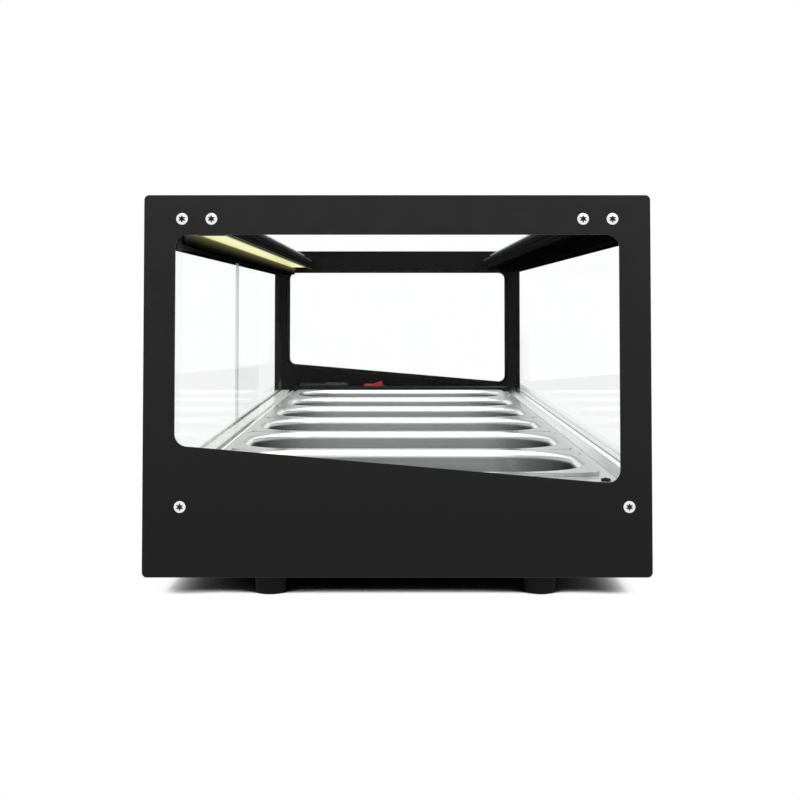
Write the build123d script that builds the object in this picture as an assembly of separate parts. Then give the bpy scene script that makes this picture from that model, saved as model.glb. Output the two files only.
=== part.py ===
"""Heated bain-marie display for six one-third gastronorm pans.

A low counter-top cabinet. Two end panels with glazed windows carry two top beams, a front
sill rail and a door track. The deck between them holds six pans over a water tank. X runs
along the length, the customer side faces -Y, the service side with its two sliding doors
faces +Y, and Z is up from the counter. The origin is on the counter under the middle. The
length and the depth follow from the pans and from the space left round them.
"""

import os
from math import cos, pi, radians, sin

from build123d import *

# Cabinet
blank_end = 33.0
control_end = 41.0
panel_height = 300.0
panel_lift = 18.0
panel_thickness = 5.0
panel_corner_r = 4.0
panel_edge_r = 0.8
sheet = 1.5
fit_gap = 0.3
side_gap = 0.5

# Windows of the end panels, their sills measured up from the deck
post_width = 24.8
top_bar = 31.4
sill_service = 28.8
sill_customer = -1.2
control_sill_rise = 14.0
control_top_drop = 4.0
window_corner_r = 10.0
rebate_width = 6.0
end_glass_thickness = 3.0

# Top beams, measured inward from the side of the panel and down from its top
beam_inset = 1.0
beam_width = 60.0
beam_height = 29.4
service_lip_drop = 38.5
customer_lip_drop = 34.0
beam_lip_start = 32.0
beam_wall = 2.5
glass_seat_start = 31.0
glass_seat_end = 45.0
beam_shoulder_outer = 12.0
beam_shoulder_inner = 14.0
lamp_recess_start = 35.0
lamp_recess_width = 23.5
lamp_recess_depth = 6.0
guide_drop = 24.5
beam_line_drops = (23.1, 27.7)
beam_line_height = 1.4
beam_line_depth = 1.5

# Glass
top_glass_thickness = 5.0
top_glass_drop = 1.0
glass_edge_gap = 1.0
seal_thickness = 1.5
seal_overhang = 3.0
front_glass_thickness = 5.0
door_glass_thickness = 4.0
gasket_thickness = 0.8
gasket_depth = 5.0
glass_bite = 8.0

# Door tracks, with each glass line measured inward from the side of the panel
front_line = 7.0
outer_line = 9.5
inner_line = 27.5
groove_width = 6.6
slot_width = 5.2
slot_lip = 1.8
track_base = 84.0
track_web = 2.0
track_inset = 3.5
door_overlap = 60.0
door_end_gap = 1.0
door_bite = 7.0
glide_width = 6.0
glide_length = 40.0
glide_height = 3.5
glide_sole = 1.2
glide_inset = 70.0
pull_width = 12.0
pull_wall = 1.5
pull_lip = 2.5
pull_clearance = 2.0

# Deck and pans
deck_rise = 8.0
deck_service_inset = 33.5
deck_customer_inset = 23.5
deck_service_margin = 8.0
deck_customer_margin = 10.0
deck_ledge = 6.5
ledge_depth = 3.5
pan_count = 6
pan_length = 325.0
pan_width = 176.0
pan_gap = 2.0
pan_depth = 40.0
pan_wall = 1.0
pan_rim_height = 3.0
pan_rim_gap = 0.2
pan_flange_width = 11.0
pan_corner_r = 18.0
pan_inner_r = 55.0
pan_lip_r = 7.0
pan_foot_r = 14.0
pan_draft = 3.0
seat_overlap = 7.0
deck_opening_r = 10.0
bar_width = 16.0
bar_depth = 10.0

# Front sill rail, its levels measured from the deck and its groove from the rail's base
sill_slope_run = 7.0
sill_rise = 5.0
sill_outer_rise = 1.5
sill_web = 4.0
sill_inset = 1.0

# Water tank and heating
tank_wall = 1.2
tank_clearance = 1.0
tank_drop = 56.0
tank_flange = 5.0
insulation_inset = 8.0
element_d = 8.0
element_rise = 2.0
element_legs = 4
element_pitch = 44.0
element_end_margin = 40.0
element_tail = 8.0
element_nut_r = 8.0
element_nut_length = 6.0
support_spacing = 300.0
support_width = 12.0
probe_d = 6.0
probe_length = 60.0
probe_y = -110.0
probe_rise = 13.0

# Drain
drain_inset = 140.0
drain_rise = 12.0
spigot_r = 10.5
drain_bore_r = 7.5
drain_flange_r = 11.5
drain_flange_thickness = 2.0
drain_nut_r = 14.0
drain_nut_length = 5.0
cap_r = 13.5
cap_length = 8.6
cap_top = 1.6
cap_ribs = 24
cap_rib_r = 0.7
skirt_drain_r = 15.0

# Base, skirts and feet
skirt_inset = 10.0
base_lift = 22.0
skirt_flange = 25.0
skirt_foot_flange = 18.0
skirt_tab_drop = 40.0
tray_lip = 12.0
vent_count = 8
vent_width = 4.0
vent_height = 26.0
vent_pitch = 12.0
vent_inset = 190.0
vent_z = 55.0
foot_r = 13.0
foot_taper = 1.0
foot_setback = 35.0
foot_service_inset = 98.0
foot_customer_inset = 85.0
stud_r = 3.0
stud_nut_r = 5.8
stud_nut_height = 5.0
stud_length = 24.0

# Screws
screw_r = 2.5
screw_head_r = 4.6
screw_dome = 0.7
screw_length = 16.0
screw_gap = 0.1
drive_core_r = 1.75
lobe_r = 0.65
lobe_circle_r = 2.15
lobe_count = 6
drive_depth = 2.0
screw_top_drop = 18.9
screw_top_outer = 30.0
screw_top_inner = 53.2
screw_low_height = 55.0
screw_low_service = 29.5
screw_low_customer = 18.1
base_screw_r = 2.0
base_screw_head_r = 3.8
base_screw_head = 2.2
base_screw_inset = 130.0
hex_sides = 6

# Control console
console_rise = 6.5
console_gap = 2.0
console_sheet = 1.2
bezel_length = 78.0
bezel_width = 33.0
bezel_height = 5.0
case_length = 71.0
case_width = 29.0
case_depth = 55.0
bezel_chamfer = 1.0
controls_inset = 18.0
thermostat_inset = 82.0
window_length = 36.0
window_width = 17.0
window_offset = 16.0
window_depth = 1.5
button_count = 3
button_length = 9.0
button_width = 7.0
button_pitch = 12.0
button_first = 7.0
button_rise = 1.2
button_travel = 1.0
button_well = 4.5
switch_spacing = 80.0
switch_bezel_length = 36.0
switch_bezel_width = 25.0
switch_bezel_height = 2.0
switch_bezel_chamfer = 0.7
switch_body_depth = 24.0
switch_body_length = 33.8
switch_body_width = 21.8
rocker_r = 15.5
rocker_width = 18.0
rocker_half_length = 14.6
rocker_end_rise = 6.4
rocker_mid_rise = 4.0
rocker_skirt = 5.0
rocker_tilt = 9.0
pivot_drop = 2.0
pivot_r = 1.5
pivot_length = 1.0
pivot_clearance = 0.08

# Lamp
lamp_blank_gap = 50.0
lamp_control_gap = 110.0
lamp_wall = 1.0
lamp_side_gap = 0.25
board_width = 12.0
board_thickness = 1.0
led_count = 32
led_size = 3.0
led_height = 0.8
diffuser_thickness = 1.5
end_cap_length = 6.0

# Electrical parts at the control end
driver_length = 90.0
driver_width = 26.0
driver_height = 24.0
driver_corner_r = 2.0
driver_gap = 2.0
terminal_length = 40.0
terminal_width = 18.0
terminal_height = 14.0
terminal_gap = 15.0
terminal_ways = 4
terminal_screw_r = 2.2
terminal_screw_depth = 4.0
bay_wall_gap = 4.0
gland_inset = 22.0
gland_z = 60.0
gland_bore_r = 4.2
gland_body_r = 8.0
gland_head_r = 10.0
gland_head_length = 7.0
gland_tail = 10.0

# Places worked out from the sizes above
pan_pitch = pan_width + pan_gap
row_length = pan_pitch * (pan_count - 1) + pan_width
chamber_length = blank_end + row_length + control_end
inner_end = chamber_length / 2
half_length = inner_end + panel_thickness
deck_depth = deck_service_margin + pan_length + deck_customer_margin
half_depth = (deck_service_inset + deck_depth + deck_customer_inset) / 2
deck_service_edge = half_depth - deck_service_inset
deck_customer_edge = half_depth - deck_customer_inset
pan_row_x = (blank_end - control_end) / 2
pan_row_y = deck_service_edge - deck_service_margin - pan_length / 2
deck_top = track_base + deck_rise
track_floor = track_base + track_web
sill_floor = track_base + sill_web
tank_floor = deck_top - tank_drop
drain_z = tank_floor + drain_rise
probe_z = tank_floor + probe_rise
console_top = deck_top + console_rise
controls_x = inner_end - controls_inset
thermostat_y = half_depth - thermostat_inset
switch_y = thermostat_y - switch_spacing
drain_x = inner_end - drain_inset
gland_x = inner_end - gland_inset
lamp_x = (lamp_blank_gap - inner_end, inner_end - lamp_control_gap)
panel_top = panel_lift + panel_height
window_half = half_depth - post_width
window_top = panel_top - top_bar
beam_under = panel_top - beam_height
service_lip = panel_top - service_lip_drop
customer_lip = panel_top - customer_lip_drop
guide_roof = panel_top - guide_drop
beam_outer_y = half_depth - beam_inset
beam_inner_y = half_depth - beam_width
glass_under = panel_top - top_glass_drop - top_glass_thickness
seat_z = glass_under - seal_thickness
front_y = half_depth - front_line
outer_y = half_depth - outer_line
inner_y = half_depth - inner_line
lamp_y = half_depth - lamp_recess_start - lamp_recess_width / 2
lamp_roof = beam_under + lamp_recess_depth
skirt_y = half_depth - skirt_inset
foot_rows = (half_depth - foot_service_inset, foot_customer_inset - half_depth)
driver_y = foot_rows[1] + foot_r + driver_gap + driver_length / 2
terminal_y = driver_y + driver_length / 2 + terminal_gap + terminal_length / 2
tray_top = base_lift + sheet
rim_top = deck_top + pan_rim_height
deck_under = deck_top - sheet
pan_inner_length = pan_length - 2 * (pan_flange_width + pan_wall / 2)
pan_inner_width = pan_width - 2 * (pan_flange_width + pan_wall)
row_half = row_length / 2 - seat_overlap
opening_x = (pan_row_x - row_half, pan_row_x + row_half)
opening_half_y = pan_length / 2 - seat_overlap + pan_wall / 2
opening_y = (pan_row_y - opening_half_y, pan_row_y + opening_half_y)
tank_x = (opening_x[0] - tank_clearance, opening_x[1] + tank_clearance)
tank_y = (opening_y[0] - tank_clearance, opening_y[1] + tank_clearance)
console_x = inner_end - control_end + console_gap
door_length = (chamber_length + door_overlap) / 2 - door_end_gap
door_bottom = track_floor + fit_gap + glide_sole
door_top = service_lip + door_bite
pan_centres = [pan_row_x + pan_pitch * ((pan_count - 1) / 2 - i) for i in range(pan_count)]


def grown(span, amount):
    """A (low, high) pair made wider by amount at both ends."""
    return (span[0] - amount, span[1] + amount)


def about(centre, width):
    """The (low, high) pair of a width about its centre."""
    return (centre - width / 2, centre + width / 2)


def block(x, y, z):
    """A box from three (low, high) pairs."""
    size = [high - low for low, high in (x, y, z)]
    return Pos(x[0], y[0], z[0]) * Box(*size, align=(Align.MIN, Align.MIN, Align.MIN))


def run(points, x):
    """A profile of (y, z) points carried along X between a (low, high) pair."""
    profile = Plane.YZ.offset(x[0]) * Polygon(*points, align=None)
    return extrude(profile, x[1] - x[0], dir=(1, 0, 0))


def tube_y(x, z, radius, y):
    """A cylinder along Y between a (low, high) pair."""
    turn = Pos(x, y[0], z) * Rot(-90, 0, 0)
    return turn * Cylinder(radius, y[1] - y[0], align=(Align.CENTER, Align.CENTER, Align.MIN))


def tube_x(y, z, radius, x):
    """A cylinder along X between a (low, high) pair."""
    turn = Pos(x[0], y, z) * Rot(0, 90, 0)
    return turn * Cylinder(radius, x[1] - x[0], align=(Align.CENTER, Align.CENTER, Align.MIN))


def tube_z(x, y, radius, z):
    """A cylinder along Z between a (low, high) pair."""
    return Pos(x, y, z[0]) * Cylinder(radius, z[1] - z[0], align=(Align.CENTER, Align.CENTER, Align.MIN))


def joined(pieces):
    """One compound of separate solids."""
    return Compound(children=[solid for piece in pieces for solid in piece.solids()])


def panel_screws():
    """Places of the screws in one end panel, as (y, z)."""
    top_z = panel_top - screw_top_drop
    low_z = panel_lift + screw_low_height
    outer = half_depth - screw_top_outer
    inner = half_depth - screw_top_inner
    top = [(y, top_z) for y in (outer, inner, -inner, -outer)]
    low = [(half_depth - screw_low_service, low_z), (screw_low_customer - half_depth, low_z)]
    return top + low


def window_outline(side, margin):
    """Window of one end panel with its sloping sill, grown by a margin."""
    rise, drop = (control_sill_rise, control_top_drop) if side > 0 else (0, 0)
    corners = [
        (window_half, window_top - drop),
        (-window_half, window_top - drop),
        (-window_half, deck_top + sill_customer + rise),
        (window_half, deck_top + sill_service + rise),
    ]
    outline = make_face(Polyline(*corners, close=True))
    rounded = fillet(outline.vertices(), window_corner_r)
    return offset(rounded, margin) if margin else rounded


def end_panel(side):
    """End panel, built at +X with its outer face outward, then mirrored for the left end."""
    inner = Plane.YZ.offset(inner_end)
    outline = RectangleRounded(2 * half_depth, panel_height, panel_corner_r)
    plate = extrude(inner * Pos(0, panel_lift + panel_height / 2) * outline, panel_thickness)
    plate = fillet(plate.faces().sort_by(Axis.X)[-1].edges(), panel_edge_r)
    plate -= extrude(inner * window_outline(side, 0), panel_thickness)
    plate -= extrude(inner * window_outline(side, rebate_width), end_glass_thickness)
    for y, z in panel_screws():
        plate -= tube_x(y, z, screw_r + screw_gap, (inner_end, half_length))
        plate -= Pos(half_length, y, z) * Rot(0, 90, 0) * countersink(screw_gap)
    return plate if side > 0 else mirror(plate, Plane.YZ)


def countersink(gap):
    """Cone under a screw head whose wide face is at Z = 0."""
    rise = screw_head_r - screw_r
    align = (Align.CENTER, Align.CENTER, Align.MAX)
    return Cone(screw_r + gap, screw_head_r + gap, rise, align=align)


def end_glass(side):
    """Pane in the rebate of an end panel, flush with the panel's inner face."""
    outline = window_outline(side, rebate_width - fit_gap)
    pane = extrude(Plane.YZ.offset(inner_end) * outline, end_glass_thickness)
    return pane if side > 0 else mirror(pane, Plane.YZ)


def torx_screw():
    """Raised countersunk screw along Z with a six-lobe drive; its head's rim is at Z = 0."""
    shank = Cylinder(screw_r, screw_length, align=(Align.CENTER, Align.CENTER, Align.MAX))
    sphere_r = (screw_head_r**2 + screw_dome**2) / (2 * screw_dome)
    cap = Pos(0, 0, screw_dome - sphere_r) * Sphere(sphere_r)
    rim = Cylinder(screw_head_r, screw_dome, align=(Align.CENTER, Align.CENTER, Align.MIN))
    body = shank + countersink(0) + (cap & rim)
    drive = Circle(drive_core_r)
    for i in range(lobe_count):
        turn = 2 * pi * i / lobe_count
        drive += Pos(lobe_circle_r * cos(turn), lobe_circle_r * sin(turn)) * Circle(lobe_r)
    return body - extrude(Plane.XY.offset(screw_dome) * drive, -drive_depth - screw_dome)


def end_panel_screws():
    """The screws of both end panels."""
    screw = torx_screw()
    right = [Pos(half_length, y, z) * Rot(0, 90, 0) * screw for y, z in panel_screws()]
    left = [Pos(-half_length, y, z) * Rot(0, -90, 0) * screw for y, z in panel_screws()]
    return joined(right + left)


def top_beam(side):
    """Beam profile: glass seat on top, lamp recess and guide grooves underneath."""
    seat_out = half_depth - glass_seat_start
    seat_in = half_depth - glass_seat_end
    lip_in = half_depth - beam_lip_start
    lip = service_lip if side > 0 else customer_lip
    top = panel_top - top_glass_drop
    points = [
        (beam_outer_y, lip),
        (beam_outer_y, top),
        (seat_out, top),
        (seat_out, seat_z),
        (seat_in, seat_z),
        (seat_in, panel_top - beam_shoulder_outer),
        (beam_inner_y, panel_top - beam_shoulder_inner),
        (beam_inner_y, beam_under),
        (lip_in, beam_under),
        (lip_in, lip),
    ]
    ends = (-inner_end, inner_end)
    beam = run(points, ends)
    beam -= block(ends, about(lamp_y, lamp_recess_width), (beam_under, lamp_roof))
    for groove in (outer_y, inner_y) if side > 0 else (front_y, inner_y):
        beam -= block(ends, about(groove, groove_width), (lip, guide_roof))
    for drop in beam_line_drops:
        line_y = (beam_inner_y, beam_inner_y + beam_line_depth)
        beam -= block(ends, line_y, about(panel_top - drop, beam_line_height))
    screw_half = screw_r + beam_wall
    outer_hollow = (half_depth - screw_top_outer + screw_half, beam_outer_y - beam_wall)
    beam -= block(ends, outer_hollow, (guide_roof + beam_wall, top - beam_wall))
    for y, z in panel_screws():
        if y > 0 and z > beam_under:
            for x in (-inner_end, inner_end):
                beam -= tube_x(y, z, screw_r + screw_gap, about(x, 2 * screw_length))
    return beam if side > 0 else mirror(beam, Plane.XZ)


def top_glass():
    """Flat pane in the seats of the two beams."""
    edge = half_depth - glass_seat_start - glass_edge_gap
    z = (glass_under, glass_under + top_glass_thickness)
    return block((-inner_end, inner_end), (-edge, edge), z)


def top_glass_seals():
    """Flat seal strips under both edges of the top glass."""
    outer = half_depth - glass_seat_start - glass_edge_gap
    inner = half_depth - glass_seat_end - seal_overhang
    ends = (-inner_end, inner_end)
    service = block(ends, (inner, outer), (seat_z, glass_under))
    return joined([service, mirror(service, Plane.XZ)])


def front_glass_ends():
    """Lowest and highest level of the front glass."""
    return (sill_floor + gasket_thickness, customer_lip + glass_bite)


def front_glass():
    """Fixed pane on the customer side."""
    y = about(-front_y, front_glass_thickness)
    return block((-inner_end, inner_end), y, front_glass_ends())


def front_glass_gaskets():
    """Channels round the lower and upper edge of the front glass."""
    low, high = front_glass_ends()
    ends = (-inner_end, inner_end)
    outer = about(-front_y, front_glass_thickness + 2 * gasket_thickness)
    lower = block(ends, outer, (low - gasket_thickness, low + gasket_depth))
    upper = block(ends, outer, (high - gasket_depth, high + gasket_thickness))
    return joined([lower - front_glass(), upper - front_glass()])


def front_sill_rail():
    """Rail on the customer side: ledge for the deck, sloped face, flat top and glass groove."""
    edge = -deck_customer_edge - side_gap
    groove = about(-front_y, front_glass_thickness + 2 * gasket_thickness)
    top = deck_top + sill_rise
    outer_top = deck_top + sill_outer_rise
    outer = sill_inset - half_depth
    points = [
        (edge + deck_ledge, track_base),
        (edge + deck_ledge, deck_under),
        (edge, deck_under),
        (edge, deck_top),
        (edge - sill_slope_run, top),
        (groove[1], top),
        (groove[1], sill_floor),
        (groove[0], sill_floor),
        (groove[0], outer_top),
        (outer, outer_top),
        (outer, track_base),
    ]
    return run(points, (-inner_end, inner_end))


def door_track():
    """Rail on the service side with two lipped grooves for the doors and a ledge for the deck."""
    edge = deck_service_edge + side_gap
    outer = half_depth - track_inset
    points = [
        (edge - deck_ledge, deck_under - ledge_depth),
        (edge - deck_ledge, deck_under),
        (edge, deck_under),
        (edge, deck_top),
        (outer, deck_top),
        (outer, track_base),
        (edge, track_base),
        (edge, deck_under - ledge_depth),
    ]
    ends = (-inner_end, inner_end)
    track = run(points, ends)
    for groove in (outer_y, inner_y):
        track -= block(ends, about(groove, groove_width), (track_floor, deck_top - slot_lip))
        track -= block(ends, about(groove, slot_width), (track_floor, deck_top))
    return track


def door(side, line):
    """Glass, outside pull and glides of one door; side is the end of the cabinet it closes."""
    shut = side * (inner_end - door_end_gap)
    free = shut - side * door_length
    x = (min(shut, free), max(shut, free))
    glass = block(x, about(line, door_glass_thickness), (door_bottom, door_top))
    face = line + door_glass_thickness / 2
    pull_x = sorted((shut, shut - side * pull_width))
    lip_x = sorted((shut - side * pull_width, shut - side * (pull_width - pull_wall)))
    pull_z = (deck_top + pull_clearance, service_lip - pull_clearance)
    pull = block(pull_x, (face, face + pull_wall), pull_z)
    pull += block(lip_x, (face, face + pull_wall + pull_lip), pull_z)
    glides = []
    for end in (x[0] + glide_inset, x[1] - glide_inset):
        floor = track_floor + fit_gap
        shoe = block(about(end, glide_length), about(line, glide_width), (floor, floor + glide_height))
        glides.append(shoe - glass)
    return glass, pull, joined(glides)


def deck_frame():
    """Deck plate with one opening for the row of pans and one under the console."""
    ends = (-inner_end, inner_end)
    plate = block(ends, (-deck_customer_edge, deck_service_edge), (deck_under, deck_top))
    size = (opening_x[1] - opening_x[0], opening_y[1] - opening_y[0])
    middle = Pos(pan_row_x, pan_row_y, deck_under)
    plate -= middle * extrude(RectangleRounded(*size, deck_opening_r), sheet)
    low = switch_y - switch_bezel_length / 2
    high = thermostat_y + bezel_length / 2
    return plate - block(about(controls_x, case_width + 2 * side_gap), (low, high), (deck_under, deck_top))


def pan_bar(index):
    """Folded bar across the opening, between two pans, flush with the deck."""
    x = (pan_centres[index] + pan_centres[index + 1]) / 2
    bar = block(about(x, bar_width), opening_y, (deck_top - bar_depth, deck_top))
    return bar - block(about(x, bar_width - 2 * sheet), opening_y, (deck_top - bar_depth, deck_under))


def lip_edges(shape, level):
    """Edges of the rounded pan mouth at one level, without the flange's own outline."""
    found = []
    for edge in shape.edges():
        box = edge.bounding_box()
        flat = box.max.Z - box.min.Z < pan_wall / 10 and abs(box.max.Z - level) < pan_wall / 10
        within_x = max(abs(box.max.X), abs(box.min.X)) < pan_width / 2 - pan_wall
        within_y = max(abs(box.max.Y), abs(box.min.Y)) < pan_length / 2 - pan_wall
        if flat and within_x and within_y:
            found.append(edge)
    return found


def pan_body(growth, depth):
    """Tapered body of a pan hanging from the rim; growth is added on all sides."""
    width = pan_inner_width + 2 * growth
    length = pan_inner_length + 2 * growth
    outline = RectangleRounded(width, length, pan_inner_r + growth)
    body = extrude(outline, -depth, taper=pan_draft)
    return fillet(body.faces().sort_by(Axis.Z)[0].edges(), pan_foot_r + growth)


def pan_shape():
    """Pressed pan with a turned-down rim, its rim's top at Z = 0."""
    outline = RectangleRounded(pan_width, pan_length, pan_corner_r)
    hollow = RectangleRounded(pan_width - 2 * pan_wall, pan_length - 2 * pan_wall, pan_corner_r - pan_wall)
    shape = extrude(outline, -pan_wall) + pan_body(pan_wall, pan_depth)
    shape = fillet(lip_edges(shape, -pan_wall), pan_lip_r - pan_wall)
    shape -= pan_body(0, pan_depth - pan_wall)
    shape = fillet(lip_edges(shape, 0), pan_lip_r)
    skirt = extrude(outline - hollow, pan_rim_gap - pan_rim_height)
    return shape + skirt


def water_tank():
    """Open tank hung under the deck, with holes for the element, the probe and the drain."""
    outer_x = grown(tank_x, tank_wall)
    outer_y_span = grown(tank_y, tank_wall)
    tank = block(outer_x, outer_y_span, (tank_floor - tank_wall, deck_under))
    flange_z = (deck_under - tank_wall, deck_under)
    tank += block(grown(outer_x, tank_flange), grown(outer_y_span, tank_flange), flange_z)
    tank -= block(tank_x, tank_y, (tank_floor, deck_under))
    for y in element_ends():
        tank -= tube_x(y, element_z(), element_d / 2, grown((tank_x[1], tank_x[1]), tank_flange))
    tank -= tube_x(probe_y, probe_z, probe_d / 2, grown((tank_x[1], tank_x[1]), tank_flange))
    return tank - tube_y(drain_x, drain_z, spigot_r, grown((tank_y[1], tank_y[1]), tank_flange))


def element_z():
    """Level of the heating element's centre line."""
    return tank_floor + element_rise + element_d / 2


def element_rows():
    """Y of the heating element's legs."""
    first = pan_row_y + element_pitch * (element_legs - 1) / 2
    return [first - element_pitch * i for i in range(element_legs)]


def element_ends():
    """Y of the two ends of the heating element."""
    return (element_rows()[0], element_rows()[-1])


def heating_element():
    """Sheathed element whose legs are joined by half turns, in one level plane."""
    radius = element_d / 2
    bend = element_pitch / 2
    near = tank_x[0] + element_end_margin
    far = tank_x[1] - element_end_margin
    out = tank_x[1] + tank_wall + element_nut_length + element_tail
    z = element_z()
    rows = element_rows()
    half_turn = Torus(bend, radius) & block((-2 * bend, 0), (-2 * bend, 2 * bend), (-bend, bend))
    tube = Part()
    for y in rows:
        end = out if y in element_ends() else far
        tube += tube_x(y, z, radius, (near, end))
    for i in range(element_legs - 1):
        x, turn = (far, 180) if i % 2 else (near, 0)
        tube += Pos(x, (rows[i] + rows[i + 1]) / 2, z) * Rot(0, 0, turn) * half_turn
    return tube


def element_nuts():
    """Hexagon nuts that clamp the element's ends in the tank wall."""
    face = tank_x[1] + tank_wall
    hexagon = Plane.YZ.offset(face) * RegularPolygon(element_nut_r, hex_sides)
    nuts = []
    for y in element_ends():
        nut = Pos(0, y, element_z()) * extrude(hexagon, element_nut_length)
        nuts.append(nut - tube_x(y, element_z(), element_d / 2, (face, face + element_nut_length)))
    return joined(nuts)


def element_supports():
    """Flat strips on the tank floor under the element's legs."""
    first, last = element_ends()
    y = grown((last, first), support_width)
    z = (tank_floor, tank_floor + element_rise)
    places = (-support_spacing, 0, support_spacing)
    return joined([block(about(x, support_width), y, z) for x in places])


def thermostat_probe():
    """Temperature probe through the tank's end wall."""
    end = tank_x[1] + tank_wall + element_tail
    rod = tube_x(probe_y, probe_z, probe_d / 2, (end - probe_length, end))
    collar = tube_x(probe_y, probe_z, probe_d, (tank_x[1] + tank_wall, end - element_tail / 2))
    return rod + collar


def tank_insulation():
    """Slab between the base tray and the tank floor."""
    x = grown(tank_x, -insulation_inset)
    y = grown(tank_y, -insulation_inset)
    return block(x, y, (tray_top, tank_floor - tank_wall))


def drain_spigot():
    """Threaded drain tube from the tank to just outside the service skirt, with its nut."""
    wall = tank_y[1] + tank_wall
    end = skirt_y + cap_length - cap_top
    tube = tube_y(drain_x, drain_z, spigot_r, (tank_y[1], end))
    tube += tube_y(drain_x, drain_z, drain_flange_r, (tank_y[1] - drain_flange_thickness, tank_y[1]))
    tube += tube_y(drain_x, drain_z, drain_nut_r, (wall, wall + drain_nut_length))
    return tube - tube_y(drain_x, drain_z, drain_bore_r, (tank_y[1] - drain_flange_thickness, end))


def drain_cap():
    """Ribbed screw cap over the outer end of the drain spigot."""
    start = skirt_y + 2 * fit_gap
    end = start + cap_length
    cap = tube_y(drain_x, drain_z, cap_r, (start, end))
    for i in range(cap_ribs):
        turn = 2 * pi * i / cap_ribs
        x = drain_x + cap_r * cos(turn)
        z = drain_z + cap_r * sin(turn)
        cap += tube_y(x, z, cap_rib_r, (start, end - cap_top))
    inside = (start, skirt_y + cap_length - cap_top + fit_gap)
    return cap - tube_y(drain_x, drain_z, spigot_r + fit_gap, inside)


def foot_places():
    """Centres of the four feet, as (x, y)."""
    x = half_length - foot_setback
    return [(sx * x, y) for sx in (-1, 1) for y in foot_rows]


def base_screw_places():
    """Centres of the screws that hold the skirts to the base tray, as (x, y)."""
    x_end = inner_end - base_screw_inset
    y = skirt_y - sheet - skirt_foot_flange / 2
    return [(x, sy * y) for x in (-x_end, 0, x_end) for sy in (-1, 1)]


def base_tray():
    """Bottom sheet with a turned-up lip at each end."""
    y = (sheet - skirt_y, skirt_y - sheet)
    tray = block((-inner_end, inner_end), y, (base_lift, tray_top))
    for x in ((-inner_end, sheet - inner_end), (inner_end - sheet, inner_end)):
        lip_y = grown(y, -skirt_foot_flange)
        tray += block(x, lip_y, (base_lift, tray_top + tray_lip))
    for x, y_foot in foot_places():
        tray -= tube_z(x, y_foot, stud_r, (base_lift, tray_top))
    for x, y_screw in base_screw_places():
        tray -= tube_z(x, y_screw, base_screw_r, (base_lift, tray_top))
    return tray


def skirt(side):
    """Folded lower side sheet with top flange, foot flange and a screw tab at each end."""
    web = (skirt_y - sheet, skirt_y)
    ends = (-inner_end, inner_end)
    shape = block(ends, web, (base_lift, track_base))
    shape += block(ends, (skirt_y - skirt_flange, skirt_y), (track_base - sheet, track_base))
    shape += block(ends, (web[0] - skirt_foot_flange, web[0]), (tray_top, tray_top + sheet))
    tab_z = (track_base - skirt_tab_drop, track_base)
    for x in ((-inner_end, sheet - inner_end), (inner_end - sheet, inner_end)):
        shape += block(x, (skirt_y - skirt_flange, skirt_y), tab_z)
    if side < 0:
        shape = mirror(shape, Plane.XZ)
    for y, z in panel_screws():
        if z < track_base and y * side > 0:
            shape -= tube_x(y, z, screw_r, grown(ends, sheet))
    for x, y in base_screw_places():
        shape -= tube_z(x, y, base_screw_r, (tray_top, tray_top + sheet))
    return shape


def service_skirt():
    """Service skirt with vent slots, a drain hole and a cable hole."""
    shape = skirt(1)
    web = (skirt_y - sheet, skirt_y)
    for i in range(vent_count):
        x = inner_end - vent_inset - vent_pitch * (i + 1)
        slot = Plane.XZ.offset(-web[1]) * SlotOverall(vent_height, vent_width, rotation=90)
        shape -= Pos(x, 0, vent_z) * extrude(slot, sheet)
    shape -= tube_y(drain_x, drain_z, skirt_drain_r, web)
    return shape - tube_y(gland_x, gland_z, gland_body_r, web)


def base_screws():
    """Pan-head screws from below through the base tray into the skirts."""
    screws = []
    for x, y in base_screw_places():
        shank = tube_z(x, y, base_screw_r, (base_lift, tray_top + 2 * sheet))
        head = tube_z(x, y, base_screw_head_r, (base_lift - base_screw_head, base_lift))
        screws.append(shank + head)
    return joined(screws)


def feet():
    """Four tapered rubber feet, each on its stud."""
    made = []
    for x, y in foot_places():
        align = (Align.CENTER, Align.CENTER, Align.MIN)
        foot = Pos(x, y, 0) * Cone(foot_r - foot_taper, foot_r, base_lift, align=align)
        foot = chamfer(foot.edges().sort_by(Axis.Z)[0], foot_taper)
        top = tray_top + stud_nut_height + sheet - stud_length
        made.append(foot - tube_z(x, y, stud_r, (top, base_lift)))
    return joined(made)


def foot_studs():
    """Studs of the feet with their nuts on the base tray."""
    made = []
    for x, y in foot_places():
        top = tray_top + stud_nut_height + sheet
        stud = tube_z(x, y, stud_r, (top - stud_length, top))
        hexagon = Plane.XY.offset(tray_top) * Pos(x, y) * RegularPolygon(stud_nut_r, hex_sides)
        made.append(stud + extrude(hexagon, stud_nut_height))
    return joined(made)


def control_console():
    """Folded cover over the electrical bay, with cut-outs for the thermostat and switch."""
    x = (console_x, inner_end)
    y = (-deck_customer_edge, deck_service_edge)
    inside_x = (console_x + console_sheet, inner_end)
    cover = block(x, y, (deck_top, console_top))
    cover -= block(inside_x, grown(y, -console_sheet), (deck_top, console_top - console_sheet))
    z = (console_top - console_sheet, console_top)
    cover -= block(about(controls_x, case_width), about(thermostat_y, case_length), z)
    return cover - block(about(controls_x, switch_body_width), about(switch_y, switch_body_length), z)


def button_places():
    """Centres of the thermostat's buttons along Y."""
    return [thermostat_y - button_first - button_pitch * i for i in range(button_count)]


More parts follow.
